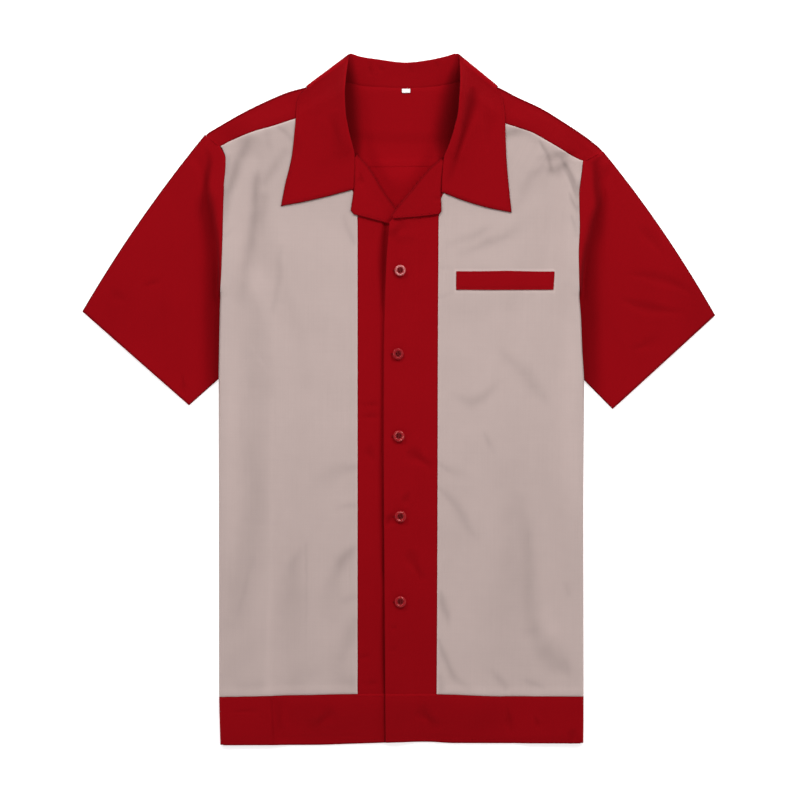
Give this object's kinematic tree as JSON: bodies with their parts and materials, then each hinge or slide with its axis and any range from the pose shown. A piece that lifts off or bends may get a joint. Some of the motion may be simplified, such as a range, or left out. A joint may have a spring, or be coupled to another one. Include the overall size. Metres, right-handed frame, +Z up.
{
  "type": "bowling shirt",
  "caption": "Short-sleeved camp-collar bowling shirt laid flat, with cream front panels, red collar, yoke, sleeves, placket and hem band, a chest welt and red buttons.",
  "frame": {"origin": "on the surface the shirt lies on, under the middle of its outline", "axes": "+X to the wearer's left, +Y from the hem to the collar, +Z up from the surface through the shirt's front"},
  "size_m": [0.6812, 0.7477, 0.0142],
  "materials": {
    "red_cotton": "matt plain-weave cotton, red",
    "cream_cotton": "matt plain-weave cotton, pinkish cream",
    "white_tape": "woven tape, white, bare",
    "red_button": "glossy red polyester resin"
  },
  "bodies": {
    "root": {"back_body": "red_cotton", "yoke": "red_cotton", "collar": "red_cotton", "front_panel_left": "cream_cotton", "front_panel_right": "cream_cotton", "placket_left": "red_cotton", "placket_right": "red_cotton", "lapel_left": "red_cotton", "lapel_right": "red_cotton", "sleeve_left": "red_cotton", "sleeve_right": "red_cotton", "band_back": "red_cotton", "band_front_left": "red_cotton", "band_front_right": "red_cotton", "chest_welt": "red_cotton", "size_label": "white_tape", "button_1": "red_button", "button_2": "red_button", "button_3": "red_button", "button_4": "red_button", "button_5": "red_button"}
  },
  "joints": []
}
